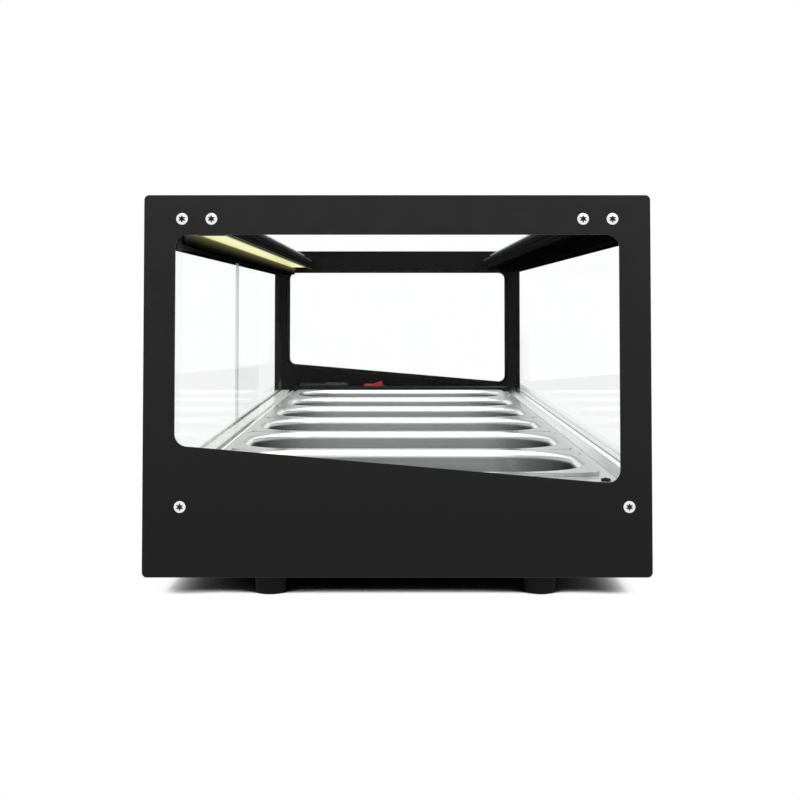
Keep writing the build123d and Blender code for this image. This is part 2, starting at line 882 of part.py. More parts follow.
def thermostat_case():
    """Panel thermostat: bezel above the console, case below, wells for window and buttons."""
    top = console_top + bezel_height
    bezel = block(about(controls_x, bezel_width), about(thermostat_y, bezel_length), (console_top, top))
    bezel = chamfer(bezel.faces().sort_by(Axis.Z)[-1].edges(), bezel_chamfer)
    below = (console_top - case_depth, console_top)
    case = bezel + block(about(controls_x, case_width), about(thermostat_y, case_length), below)
    case -= thermostat_window()
    well_x = about(controls_x, button_width + 2 * fit_gap)
    for y in button_places():
        case -= block(well_x, about(y, button_length + 2 * fit_gap), (top - button_well, top))
    return case


def thermostat_window():
    """Dark display window set in the bezel."""
    top = console_top + bezel_height
    y = about(thermostat_y + window_offset, window_length)
    return block(about(controls_x, window_width), y, (top - window_depth, top))


def thermostat_button(index):
    """One push button, proud of the bezel, with room below for its travel."""
    y = button_places()[index]
    top = console_top + bezel_height + button_rise
    low = console_top + bezel_height - button_well + button_travel + fit_gap
    cap = block(about(controls_x, button_width), about(y, button_length), (low, top))
    return fillet(cap.faces().sort_by(Axis.Z)[-1].edges(), button_rise / 2)


def switch_housing():
    """Housing of the rocker switch: bezel, case below and the well that the rocker turns in."""
    above = (console_top, console_top + switch_bezel_height)
    below = (console_top - switch_body_depth, console_top)
    bezel = block(about(controls_x, switch_bezel_width), about(switch_y, switch_bezel_length), above)
    bezel = chamfer(bezel.faces().sort_by(Axis.Z)[-1].edges(), switch_bezel_chamfer)
    body = bezel + block(about(controls_x, switch_body_width), about(switch_y, switch_body_length), below)
    pivot = console_top + switch_bezel_height - pivot_drop
    well_z = (pivot - rocker_skirt - 2 * rocker_r * sin(radians(rocker_tilt)), pivot + rocker_r)
    well_x = about(controls_x, rocker_width + 2 * fit_gap)
    body -= block(well_x, about(switch_y, 2 * (rocker_r + fit_gap)), well_z)
    reach = rocker_width / 2 + pivot_length + fit_gap
    pivot_x = (controls_x - reach, controls_x + reach)
    return body - tube_x(switch_y, pivot, pivot_r + pivot_clearance, pivot_x)


def switch_rocker():
    """Rocker of the switch, at rest with its customer-side end raised."""
    pivot = console_top + switch_bezel_height - pivot_drop
    points = [
        (-rocker_half_length, -rocker_skirt),
        (-rocker_half_length, rocker_end_rise),
        (0, rocker_mid_rise),
        (rocker_half_length, rocker_end_rise),
        (rocker_half_length, -rocker_skirt),
    ]
    x = (-rocker_width / 2, rocker_width / 2)
    paddle = run(points, x) & tube_x(0, 0, rocker_r, x)
    paddle += tube_x(0, 0, pivot_r, grown(x, pivot_length))
    return Pos(controls_x, switch_y, pivot) * Rot(-rocker_tilt, 0, 0) * paddle


def lamp_channel():
    """Channel in the recess of the service beam."""
    y = about(lamp_y, lamp_recess_width - 2 * lamp_side_gap)
    outer = block(lamp_x, y, (beam_under, lamp_roof))
    return outer - block(lamp_x, grown(y, -lamp_wall), (beam_under, lamp_roof - lamp_wall))


def led_board():
    """Light board under the channel's web, with its row of light sources."""
    x = grown(lamp_x, -end_cap_length)
    top = lamp_roof - lamp_wall
    low = top - board_thickness
    board = block(x, about(lamp_y, board_width), (low, top))
    pitch = (x[1] - x[0]) / led_count
    for i in range(led_count):
        centre = x[0] + pitch * (i + 0.5)
        board += block(about(centre, led_size), about(lamp_y, led_size), (low - led_height, low))
    return board


def lamp_diffuser():
    """Opal cover of the lamp."""
    x = grown(lamp_x, -end_cap_length)
    y = about(lamp_y, lamp_recess_width - 2 * lamp_side_gap - 2 * lamp_wall)
    return block(x, y, (beam_under, beam_under + diffuser_thickness))


def lamp_end_caps():
    """Small blocks that close the ends of the lamp channel."""
    y = about(lamp_y, lamp_recess_width - 2 * lamp_side_gap - 2 * lamp_wall)
    z = (beam_under, lamp_roof - lamp_wall)
    spans = ((lamp_x[0], lamp_x[0] + end_cap_length), (lamp_x[1] - end_cap_length, lamp_x[1]))
    return joined([block(x, y, z) for x in spans])


def led_driver():
    """Driver of the lamp on the base tray at the control end."""
    x = (inner_end - bay_wall_gap - driver_width, inner_end - bay_wall_gap)
    case = block(x, about(driver_y, driver_length), (tray_top, tray_top + driver_height))
    return fillet(case.edges().filter_by(Axis.Z), driver_corner_r)


def terminal_block():
    """Mains terminal block on the base tray at the control end."""
    x = (inner_end - bay_wall_gap - terminal_width, inner_end - bay_wall_gap)
    top = tray_top + terminal_height
    body = block(x, about(terminal_y, terminal_length), (tray_top, top))
    pitch = terminal_length / terminal_ways
    for i in range(terminal_ways):
        y = terminal_y - terminal_length / 2 + pitch * (i + 0.5)
        body -= tube_z((x[0] + x[1]) / 2, y, terminal_screw_r, (top - terminal_screw_depth, top))
    return body


def cable_gland():
    """Cable inlet through the service skirt, with a plain bore."""
    inside = (skirt_y - sheet - gland_tail, skirt_y)
    body = tube_y(gland_x, gland_z, gland_body_r, inside)
    hexagon = Plane.XZ.offset(-skirt_y) * RegularPolygon(gland_head_r, hex_sides)
    head = Pos(gland_x, 0, gland_z) * extrude(hexagon, -gland_head_length)
    nut_y = (skirt_y - 2 * sheet - gland_tail / 2, skirt_y - sheet)
    nut = tube_y(gland_x, gland_z, gland_head_r, nut_y)
    return body + head + nut - tube_y(gland_x, gland_z, gland_bore_r, grown(inside, gland_head_length))


def cabinet_nodes():
    """Every sub-part by node name."""
    nodes = {
        "left_end_panel": end_panel(-1),
        "right_end_panel": end_panel(1),
        "left_end_glass": end_glass(-1),
        "right_end_glass": end_glass(1),
        "end_panel_screws": end_panel_screws(),
        "front_top_beam": top_beam(-1),
        "service_top_beam": top_beam(1),
        "top_glass": top_glass(),
        "top_glass_seals": top_glass_seals(),
        "front_glass": front_glass(),
        "front_glass_gaskets": front_glass_gaskets(),
        "front_sill_rail": front_sill_rail(),
        "door_track": door_track(),
        "deck_frame": deck_frame(),
        "water_tank": water_tank(),
        "heating_element": heating_element(),
        "element_nuts": element_nuts(),
        "element_supports": element_supports(),
        "thermostat_probe": thermostat_probe(),
        "tank_insulation": tank_insulation(),
        "drain_spigot": drain_spigot(),
        "drain_cap": drain_cap(),
        "base_tray": base_tray(),
        "front_skirt": skirt(-1),
        "service_skirt": service_skirt(),
        "base_screws": base_screws(),
        "feet": feet(),
        "foot_studs": foot_studs(),
        "control_console": control_console(),
        "thermostat_case": thermostat_case(),
        "thermostat_window": thermostat_window(),
        "switch_housing": switch_housing(),
        "switch_rocker": switch_rocker(),
        "lamp_channel": lamp_channel(),
        "led_board": led_board(),
        "lamp_diffuser": lamp_diffuser(),
        "lamp_end_caps": lamp_end_caps(),
        "led_driver": led_driver(),
        "terminal_block": terminal_block(),
        "cable_gland": cable_gland(),
    }
    for name, side, line in (("left_door", -1, inner_y), ("right_door", 1, outer_y)):
        glass, pull, glides = door(side, line)
        nodes[name + "_glass"] = glass
        nodes[name + "_pull"] = pull
        nodes[name + "_glides"] = glides
    pan = pan_shape()
    for i, x in enumerate(pan_centres):
        nodes[f"pan_{i + 1}"] = Pos(x, pan_row_y, rim_top) * pan
    for i in range(pan_count - 1):
        nodes[f"pan_bar_{i + 1}"] = pan_bar(i)
    for i, name in enumerate(("set_button", "up_button", "down_button")):
        nodes[name] = thermostat_button(i)
    return nodes


os.makedirs("parts", exist_ok=True)
for node_name, shape in cabinet_nodes().items():
    export_step(shape, os.path.join("parts", node_name + ".step"))
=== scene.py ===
"""Looks of the heated bain-marie display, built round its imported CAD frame."""

import math

import bmesh
import bpy
from mathutils import Matrix, Vector


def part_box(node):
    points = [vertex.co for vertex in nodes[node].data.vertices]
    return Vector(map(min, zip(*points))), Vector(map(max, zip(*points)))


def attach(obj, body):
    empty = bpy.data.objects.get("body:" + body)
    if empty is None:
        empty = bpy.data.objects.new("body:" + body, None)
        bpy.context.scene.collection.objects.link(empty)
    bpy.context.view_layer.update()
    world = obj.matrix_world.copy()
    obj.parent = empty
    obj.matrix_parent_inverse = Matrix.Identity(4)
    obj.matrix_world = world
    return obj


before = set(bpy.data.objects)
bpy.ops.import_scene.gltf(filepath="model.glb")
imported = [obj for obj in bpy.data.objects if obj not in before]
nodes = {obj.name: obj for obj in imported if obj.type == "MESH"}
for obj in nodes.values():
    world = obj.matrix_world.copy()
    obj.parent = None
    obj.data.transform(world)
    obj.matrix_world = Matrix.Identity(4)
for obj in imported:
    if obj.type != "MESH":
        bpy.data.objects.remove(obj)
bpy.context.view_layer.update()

MM = 0.001


# Node helpers


def start_material(name):
    """A new node material with an empty Principled shader."""
    mat = bpy.data.materials.new(name)
    mat.use_nodes = True
    tree = mat.node_tree
    shader = next(n for n in tree.nodes if n.type == "BSDF_PRINCIPLED")
    return mat, tree, shader


def output_of(tree):
    return next(n for n in tree.nodes if n.type == "OUTPUT_MATERIAL")


def place(tree, stretch=(1.0, 1.0, 1.0)):
    """Object coordinates in metres, scaled along each axis."""
    coords = tree.nodes.new("ShaderNodeTexCoord")
    mapping = tree.nodes.new("ShaderNodeMapping")
    mapping.inputs["Scale"].default_value = stretch
    tree.links.new(coords.outputs["Object"], mapping.inputs["Vector"])
    return mapping.outputs["Vector"]


def noise(tree, scale, detail=2.0, stretch=(1.0, 1.0, 1.0)):
    """Noise value with a scale in repeats per metre."""
    node = tree.nodes.new("ShaderNodeTexNoise")
    node.inputs["Scale"].default_value = scale
    node.inputs["Detail"].default_value = detail
    tree.links.new(place(tree, stretch), node.inputs["Vector"])
    return node.outputs["Fac"]


def span(tree, value, low, high, start=0.3, end=0.7):
    """The value carried from start..end to low..high."""
    node = tree.nodes.new("ShaderNodeMapRange")
    node.inputs["From Min"].default_value = start
    node.inputs["From Max"].default_value = end
    node.inputs["To Min"].default_value = low
    node.inputs["To Max"].default_value = high
    tree.links.new(value, node.inputs["Value"])
    return node.outputs["Result"]


def blend(tree, factor, first, second):
    """Mix of two colours by a factor; each may be a colour or a socket."""
    node = tree.nodes.new("ShaderNodeMix")
    node.data_type = "RGBA"
    tree.links.new(factor, node.inputs[0])
    for socket, colour in ((node.inputs[6], first), (node.inputs[7], second)):
        if isinstance(colour, tuple):
            socket.default_value = colour + (1.0,)
        else:
            tree.links.new(colour, socket)
    return node.outputs[2]


def math_node(tree, operation, first, second=None):
    """One maths operation; each operand may be a number or a socket."""
    node = tree.nodes.new("ShaderNodeMath")
    node.operation = operation
    for socket, value in zip(node.inputs, (first, second)):
        if isinstance(value, (int, float)):
            socket.default_value = value
        elif value is not None:
            tree.links.new(value, socket)
    return node.outputs[0]


def axis_value(tree, axis, absolute=False):
    """One object coordinate in metres."""
    parts = tree.nodes.new("ShaderNodeSeparateXYZ")
    tree.links.new(place(tree), parts.inputs[0])
    value = parts.outputs["xyz".index(axis)]
    return math_node(tree, "ABSOLUTE", value) if absolute else value


def normal_value(tree, axis):
    """One component of the face's true normal."""
    geometry = tree.nodes.new("ShaderNodeNewGeometry")
    parts = tree.nodes.new("ShaderNodeSeparateXYZ")
    tree.links.new(geometry.outputs["True Normal"], parts.inputs[0])
    return parts.outputs["xyz".index(axis)]


def bump(tree, shader, height, strength, distance):
    """Feeds the shader's normal from a height value."""
    node = tree.nodes.new("ShaderNodeBump")
    node.inputs["Strength"].default_value = strength
    node.inputs["Distance"].default_value = distance
    tree.links.new(height, node.inputs["Height"])
    tree.links.new(node.outputs["Normal"], shader.inputs["Normal"])


def shade(colour, factor):
    return tuple(min(c * factor, 1.0) for c in colour)


# Places on the cabinet that the materials change at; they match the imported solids

PANEL_FADE = (60 * MM, 310 * MM)
PANEL_BACK_X = 573 * MM
BEAM_LIP_Y = (155 * MM, 163 * MM)
BEAM_BAND_Y = 140.6 * MM
BEAM_BAND_Z = (300.2 * MM, 302.6 * MM)
BEAM_OUTER_Y = 197 * MM
BEAM_TOP_Z = 315 * MM
GLOW_REACH = (0.5 * MM, 12.5 * MM)
GLOW_END_Y = 168.6 * MM
DOOR_EDGE_Y = 170.5 * MM
DOOR_PITCH_Y = 18 * MM
DOOR_EDGE_FADE = (0.3 * MM, 2.6 * MM)
MIRROR_FADE_Z = (172 * MM, 200 * MM)
FOOT_FADE_Z = (105.5 * MM, 107.5 * MM)
MIDDLE_X = (400 * MM, 500 * MM)
PAN_BETWEEN_X = 85 * MM
PAN_HALF_PITCH = 89 * MM
PAN_SHIFT_Y = 4 * MM
PAN_MOUTH = (21 * MM, 96 * MM)
PAN_CORNER = (57 * MM, 59 * MM)
PAN_END_FADE = (10 * MM, 45 * MM)
PAN_END_SHADE_Y = (85 * MM, 150 * MM)
PAN_RIM_Z = (88.5 * MM, 92.5 * MM)
SCREW_FACE_X = (574.6 * MM, 575.0 * MM)
LAMP_RIM = (7.5 * MM, 10.5 * MM)

lamp_low, lamp_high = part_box("lamp_diffuser")
LAMP_Y = (lamp_low[1] + lamp_high[1]) / 2
LAMP_HALF = (lamp_high[1] - lamp_low[1]) / 2
LAMP_Z = lamp_low[2]


# Materials


def coat_grain(tree, shader):
    """Fine orange peel of the black coatings."""
    bump(tree, shader, noise(tree, 1400.0, 3.0), 0.35, 0.00006)


def powder_coat(name, colour, shine=0.3, inside_shade=1.0):
    """Black textured coating with faint mottling; painted shade makes it darker towards the foot,
    as if less light reaches there from above, and on its inner faces.
    """
    mat, tree, shader = start_material(name)
    mottle = noise(tree, 60.0, 3.0)
    tone = blend(tree, span(tree, mottle, 0.0, 1.0), shade(colour, 0.9), shade(colour, 1.12))
    # Painted shade: the coat is darker towards the foot, as if lit from above.
    height = span(tree, axis_value(tree, "z"), 0.0, 1.0, *PANEL_FADE)
    tone = blend(tree, height, shade(colour, 0.4), tone)
    # Painted shade on the inner faces, which the light reaches less.
    if inside_shade < 1.0:
        shaded_inner_faces = math_node(tree, "LESS_THAN", axis_value(tree, "x", True), PANEL_BACK_X)
        tone = blend(tree, shaded_inner_faces, tone, shade(colour, inside_shade))
    tree.links.new(tone, shader.inputs["Base Color"])
    tree.links.new(span(tree, noise(tree, 420.0), 0.4, 0.52), shader.inputs["Roughness"])
    shader.inputs["Specular IOR Level"].default_value = shine
    coat_grain(tree, shader)
    return mat


def beam_coat(name, lamp_side):
    """Matt black profile with painted light: a lighter grey upper strip on the inner face, painted
    shade on the darker lip, a painted sheen on the exterior faces and a painted lamp glow on the
    service side.
    """
    mat, tree, shader = start_material(name)
    across = axis_value(tree, "y", True)
    level = axis_value(tree, "z")
    mottle = span(tree, noise(tree, 60.0, 3.0), 0.85, 1.15)
    # Painted shade: the lip is darker.
    lip = span(tree, across, 0.0, 1.0, *BEAM_LIP_Y)
    tone = blend(tree, lip, (0.017, 0.017, 0.0172), (0.006, 0.006, 0.006))
    # Painted light: the upper strip of the inner face is a lighter grey.
    inner = math_node(tree, "LESS_THAN", across, BEAM_BAND_Y)
    painted_light_band = math_node(tree, "MULTIPLY", inner, span(tree, level, 0.0, 1.0, *BEAM_BAND_Z))
    tone = blend(tree, painted_light_band, tone, (0.085, 0.085, 0.085))
    # Painted sheen: the exterior faces and the top are a little lighter.
    painted_sheen_faces = math_node(tree, "GREATER_THAN", across, BEAM_OUTER_Y)
    painted_sheen_faces = math_node(tree, "MAXIMUM", painted_sheen_faces, math_node(tree, "GREATER_THAN", level, BEAM_TOP_Z))
    tone = blend(tree, painted_sheen_faces, tone, (0.021, 0.021, 0.0213))
    vary = tree.nodes.new("ShaderNodeVectorMath")
    vary.operation = "SCALE"
    tree.links.new(tone, vary.inputs[0])
    tree.links.new(mottle, vary.inputs["Scale"])
    tree.links.new(vary.outputs[0], shader.inputs["Base Color"])
    tree.links.new(span(tree, noise(tree, 420.0), 0.55, 0.65), shader.inputs["Roughness"])
    shader.inputs["Specular IOR Level"].default_value = 0.0
    if lamp_side:
        # Painted lamp glow: the profile glows beside and under the lamp cover as if lit by it.
        aside = math_node(tree, "SUBTRACT", axis_value(tree, "y"), LAMP_Y)
        aside = math_node(tree, "SUBTRACT", math_node(tree, "ABSOLUTE", aside), LAMP_HALF)
        below = math_node(tree, "ABSOLUTE", math_node(tree, "SUBTRACT", level, LAMP_Z))
        gone = math_node(tree, "ADD", math_node(tree, "MAXIMUM", aside, 0.0), below)
        glow = span(tree, gone, 1.0, 0.0, *GLOW_REACH)
        glow = math_node(tree, "MULTIPLY", glow, glow)
        under = math_node(tree, "LESS_THAN", level, LAMP_Z + 0.2 * MM)
        beside = math_node(tree, "LESS_THAN", axis_value(tree, "y"), GLOW_END_Y)
        glow = math_node(tree, "MULTIPLY", glow, math_node(tree, "MULTIPLY", under, beside))
        painted_lamp_glow = blend(tree, glow, (0.0, 0.0, 0.0), (0.19, 0.188, 0.09))
        tree.links.new(painted_lamp_glow, shader.inputs["Emission Color"])
        shader.inputs["Emission Strength"].default_value = 1.0
    coat_grain(tree, shader)
    return mat


def brushed(name, colour, along="x", roughness=0.3, lines=1500.0, depth=0.00001, metallic=1.0):
    """Metal with fine lines along one axis and a soft cloudiness."""
    mat, tree, shader = start_material(name)
    stretch = {"x": (0.01, 1.0, 1.0), "y": (1.0, 0.01, 1.0), "z": (1.0, 1.0, 0.01)}[along]
    scratch = noise(tree, lines, 2.0, stretch)
    cloud = noise(tree, 9.0, 2.0)
    tone = blend(tree, span(tree, scratch, 0.0, 1.0), shade(colour, 0.9), shade(colour, 1.05))
    tone = blend(tree, span(tree, cloud, 0.0, 0.35), tone, shade(colour, 0.93))
    tree.links.new(tone, shader.inputs["Base Color"])
    polish = span(tree, scratch, roughness - 0.05, roughness + 0.06)
    tree.links.new(polish, shader.inputs["Roughness"])
    shader.inputs["Metallic"].default_value = metallic
    shader.inputs["Specular IOR Level"].default_value = 0.0
    bump(tree, shader, scratch, 0.3, depth)
    return mat


def plastic(name, colour, roughness, grain=900.0, depth=0.00003, shine=0.4):
    """Moulded plastic with a fine spark-eroded texture."""
    mat, tree, shader = start_material(name)
    cloud = span(tree, noise(tree, 35.0), 0.0, 1.0)
    tone = blend(tree, cloud, shade(colour, 0.92), shade(colour, 1.08))
    tree.links.new(tone, shader.inputs["Base Color"])
    fine = noise(tree, grain, 2.0)
    tree.links.new(span(tree, fine, roughness - 0.05, roughness + 0.07), shader.inputs["Roughness"])
    shader.inputs["Specular IOR Level"].default_value = shine
    bump(tree, shader, fine, 0.4, depth)
    return mat


def edge_mask(tree, face_axis):
    """1 on the narrow edges of a pane whose broad faces look along face_axis."""
    along = math_node(tree, "ABSOLUTE", normal_value(tree, face_axis))
    return math_node(tree, "LESS_THAN", along, 0.5)


def glass(name, face_axis, shine, foot=0.0, edge_cover=0.6):
    """Clear pane with pale green edges; mirrors up to shine at a low angle, more at its foot."""
    mat, tree, shader = start_material(name)
    mask = edge_mask(tree, face_axis)
    haze = span(tree, noise(tree, 14.0, 2.0), 0.0, 1.0)
    face = blend(tree, haze, (1.0, 1.0, 1.0), (0.98, 0.99, 0.985))
    inward = math_node(tree, "SUBTRACT", axis_value(tree, "y", True), DOOR_EDGE_Y)
    step = math_node(tree, "MODULO", inward, DOOR_PITCH_Y)
    pale = span(tree, step, 0.0, 1.0, *DOOR_EDGE_FADE)
    edge = blend(tree, pale, (0.47, 0.62, 0.57), (0.91, 0.98, 0.955))
    tree.links.new(blend(tree, mask, face, edge), shader.inputs["Base Color"])
    tree.links.new(span(tree, mask, 0.0, 0.3, 0.0, 1.0), shader.inputs["Roughness"])
    tree.links.new(span(tree, mask, 1.0, 0.0, 0.0, 1.0), shader.inputs["Metallic"])
    fresnel = tree.nodes.new("ShaderNodeFresnel")
    fresnel.inputs["IOR"].default_value = 1.45
    mirror = span(tree, fresnel.outputs[0], shine * 0.3, shine, 0.03, 0.5)
    level = axis_value(tree, "z")
    mirror = math_node(tree, "MULTIPLY", mirror, span(tree, level, 1.0, 0.15, *MIRROR_FADE_Z))
    mirror = math_node(tree, "MAXIMUM", mirror, span(tree, level, foot, 0.0, *FOOT_FADE_Z))
    geometry = tree.nodes.new("ShaderNodeNewGeometry")
    front = math_node(tree, "SUBTRACT", 1.0, geometry.outputs["Backfacing"])
    cover = tree.nodes.new("ShaderNodeMix")
    tree.links.new(math_node(tree, "MULTIPLY", mask, front), cover.inputs[0])
    tree.links.new(mirror, cover.inputs[2])
    middle = span(tree, axis_value(tree, "x", True), edge_cover, edge_cover * 0.1, *MIDDLE_X)
    tree.links.new(middle, cover.inputs[3])
    clear = tree.nodes.new("ShaderNodeBsdfTransparent")
    clear.inputs["Color"].default_value = (0.997, 1.0, 0.998, 1.0)
    mix = tree.nodes.new("ShaderNodeMixShader")
    tree.links.new(cover.outputs[0], mix.inputs[0])
    tree.links.new(clear.outputs[0], mix.inputs[1])
    tree.links.new(shader.outputs[0], mix.inputs[2])
    tree.links.new(mix.outputs[0], output_of(tree).inputs["Surface"])
    return mat


def pan_reach(tree):
    """Distance from the pans' middle towards either of their ends."""
    return math_node(tree, "ABSOLUTE", math_node(tree, "ADD", axis_value(tree, "y"), PAN_SHIFT_Y))


def pan_end_flats(tree):
    """1 on the flat flange outside the rounded mouth at both ends of every pan."""
    centred = math_node(tree, "SUBTRACT", axis_value(tree, "x"), PAN_BETWEEN_X)
    along = math_node(tree, "PINGPONG", centred, PAN_HALF_PITCH)
    side = math_node(tree, "MAXIMUM", math_node(tree, "SUBTRACT", along, PAN_MOUTH[0]), 0.0)
    past = math_node(tree, "SUBTRACT", pan_reach(tree), PAN_MOUTH[1])
    end = math_node(tree, "MAXIMUM", past, 0.0)
    squares = [math_node(tree, "POWER", value, 2.0) for value in (side, end)]
    corner = math_node(tree, "SQRT", math_node(tree, "ADD", *squares))
    outside = span(tree, corner, 0.0, 1.0, *PAN_CORNER)
    return math_node(tree, "MULTIPLY", outside, span(tree, end, 0.0, 1.0, *PAN_END_FADE))


def pan_metal(name, rim, inside_shade):
    """Pressed pan: polished rim and satin interior; the interior is a darker copy of the steel as
    painted shade, with more painted shade towards the rounded ends and on the flat end flanges.
    """
    mat, tree, shader = start_material(name)
    scratch = noise(tree, 1100.0, 2.0, (1.0, 0.01, 1.0))
    cloud = noise(tree, 14.0, 2.0)
    # Painted shade: the interior takes the darker copy of the steel.
    wall = blend(tree, span(tree, scratch, 0.0, 1.0), shade(inside_shade, 0.88), shade(inside_shade, 1.08))
    wall = blend(tree, span(tree, cloud, 0.0, 0.4), wall, shade(inside_shade, 0.85))
    # Painted shade: the walls get darker towards both rounded ends.
    painted_end_shade = span(tree, pan_reach(tree), 0.0, 0.85, *PAN_END_SHADE_Y)
    wall = blend(tree, painted_end_shade, wall, shade(inside_shade, 0.16))
    level = span(tree, axis_value(tree, "z"), 0.0, 1.0, *PAN_RIM_Z)
    # Painted shade: the flat end flanges get a dimmer, less metallic copy of the steel.
    painted_flat_shade = pan_end_flats(tree)
    tone = blend(tree, painted_flat_shade, blend(tree, level, wall, rim), (0.53, 0.545, 0.54))
    tree.links.new(tone, shader.inputs["Base Color"])
    tree.links.new(span(tree, level, 0.34, 0.24, 0.0, 1.0), shader.inputs["Roughness"])
    tree.links.new(span(tree, painted_flat_shade, 1.0, 0.5, 0.0, 1.0), shader.inputs["Metallic"])
    shader.inputs["Specular IOR Level"].default_value = 0.0
    bump(tree, shader, scratch, 0.3, 0.000006)
    return mat


def rail_finish(name, face, top):
    """Satin metal rail with painted light: its flat top gets a brighter copy of the metal than its
    sloped face and its grooves.
    """
    mat, tree, shader = start_material(name)
    scratch = noise(tree, 1500.0, 2.0, (0.01, 1.0, 1.0))
    # Painted light: faces that look up get the brighter tone.
    painted_top_light = span(tree, normal_value(tree, "z"), 0.0, 1.0, 0.9, 0.98)
    tone = blend(tree, painted_top_light, face, top)
    tone = blend(tree, span(tree, scratch, 0.0, 0.25), tone, shade(face, 0.85))
    tree.links.new(tone, shader.inputs["Base Color"])
    tree.links.new(span(tree, scratch, 0.12, 0.2), shader.inputs["Roughness"])
    shader.inputs["Metallic"].default_value = 1.0
    bump(tree, shader, scratch, 0.3, 0.00001)
    return mat


def screw_metal(name, colour):
    """Bright screw head; its drive recess is painted near black as painted shade."""
    mat, tree, shader = start_material(name)
    turned = noise(tree, 2600.0, 2.0)
    tone = blend(tree, span(tree, turned, 0.0, 1.0), shade(colour, 0.9), colour)
    # Painted shade: all but the head's face is near black.
    unshaded_head = span(tree, axis_value(tree, "x", True), 0.0, 1.0, *SCREW_FACE_X)
    tree.links.new(blend(tree, unshaded_head, (0.03, 0.03, 0.03), tone), shader.inputs["Base Color"])
    tree.links.new(span(tree, turned, 0.22, 0.34), shader.inputs["Roughness"])
    shader.inputs["Metallic"].default_value = 1.0
    bump(tree, shader, turned, 0.2, 0.000006)
    return mat


def lamp_cover(name, colour):
    """Opal cover that glows, dimmer along its two long edges."""
    mat, tree, shader = start_material(name)
    cloud = span(tree, noise(tree, 32.0, 1.0, (1.0, 0.1, 0.1)), 0.0, 1.0)
    aside = math_node(tree, "ABSOLUTE", math_node(tree, "SUBTRACT", axis_value(tree, "y"), LAMP_Y))
    rim = span(tree, aside, 0.0, 1.0, *LAMP_RIM)
    tone = blend(tree, rim, blend(tree, cloud, shade(colour, 0.95), colour), (0.36, 0.345, 0.14))
    body = blend(tree, rim, (0.16, 0.16, 0.06), (0.05, 0.05, 0.02))
    tree.links.new(body, shader.inputs["Base Color"])
    tree.links.new(tone, shader.inputs["Emission Color"])
    shader.inputs["Emission Strength"].default_value = 1.0
    shader.inputs["Specular IOR Level"].default_value = 0.08
    tree.links.new(span(tree, noise(tree, 500.0), 0.3, 0.4), shader.inputs["Roughness"])
    return mat


panel_black = powder_coat("powder_coat_panel", (0.0195, 0.0195, 0.0198), shine=0.16, inside_shade=0.14)
beam_front = beam_coat("front_beam_coat", False)
beam_service = beam_coat("service_beam_coat", True)
sheet_black = powder_coat("powder_coat_sheet", (0.010, 0.010, 0.0103), shine=0.2)
deck_steel = brushed("deck_brushed_steel", (0.56, 0.575, 0.57), "x", 0.16, metallic=0.5)
bar_steel = brushed("bar_brushed_steel", (0.54, 0.56, 0.555), "y", 0.2, metallic=0.6)
pan_steel = pan_metal("pan_polished_steel", (0.93, 0.94, 0.935), (0.395, 0.41, 0.405))
tank_steel = brushed("tank_steel", (0.62, 0.63, 0.63), "x", 0.4)
rail_metal = rail_finish("rail_satin_metal", (0.74, 0.75, 0.75), (0.97, 0.975, 0.97))
track_white = plastic("track_pvc", (0.93, 0.935, 0.93), 0.22, 500.0, 0.00001, 0.5)
lamp_metal = brushed("lamp_channel_metal", (0.30, 0.29, 0.22), "x", 0.42, metallic=0.6)
screw_steel = screw_metal("screw_steel", (0.92, 0.92, 0.92))
zinc = brushed("zinc_plate", (0.62, 0.64, 0.66), "z", 0.36)
element_steel = brushed("element_heat_tint", (0.36, 0.32, 0.28), "x", 0.45)
seal_pale = plastic("seal_silicone", (0.6, 0.62, 0.61), 0.5, 700.0)
foot_rubber = plastic("foot_rubber", (0.012, 0.012, 0.012), 0.75, 600.0, 0.00008, 0.2)
black_plastic = plastic("black_plastic", (0.011, 0.010, 0.014), 0.42)
button_plastic = plastic("button_plastic", (0.05, 0.047, 0.06), 0.5)
red_plastic = plastic("rocker_red_plastic", (0.72, 0.012, 0.008), 0.3, 300.0, 0.00001, 0.5)
window_plastic = plastic("display_window", (0.012, 0.006, 0.022), 0.12, 200.0, 0.000002, 0.6)
nylon = plastic("glide_nylon", (0.66, 0.66, 0.63), 0.5)
board_white = plastic("light_board", (0.80, 0.80, 0.74), 0.45)
driver_white = plastic("driver_case", (0.74, 0.74, 0.72), 0.5)
fibre = plastic("insulation_fibre", (0.66, 0.63, 0.52), 0.9, 350.0, 0.0006, 0.1)
mark_white = plastic("mark_white", (0.75, 0.75, 0.73), 0.5)
digit_grey = plastic("digit_unlit", (0.05, 0.035, 0.07), 0.4)
clear_end = glass("end_glass", "x", 0.002)
clear_front = glass("front_glass", "y", 0.06, foot=0.3)
clear_door = glass("door_glass", "y", 0.05, foot=0.12)
clear_top = glass("top_glass", "z", 0.008)
clear_pull = glass("pull_polycarbonate", "y", 0.05, edge_cover=0.2)
opal = lamp_cover("lamp_opal", (0.72, 0.705, 0.335))

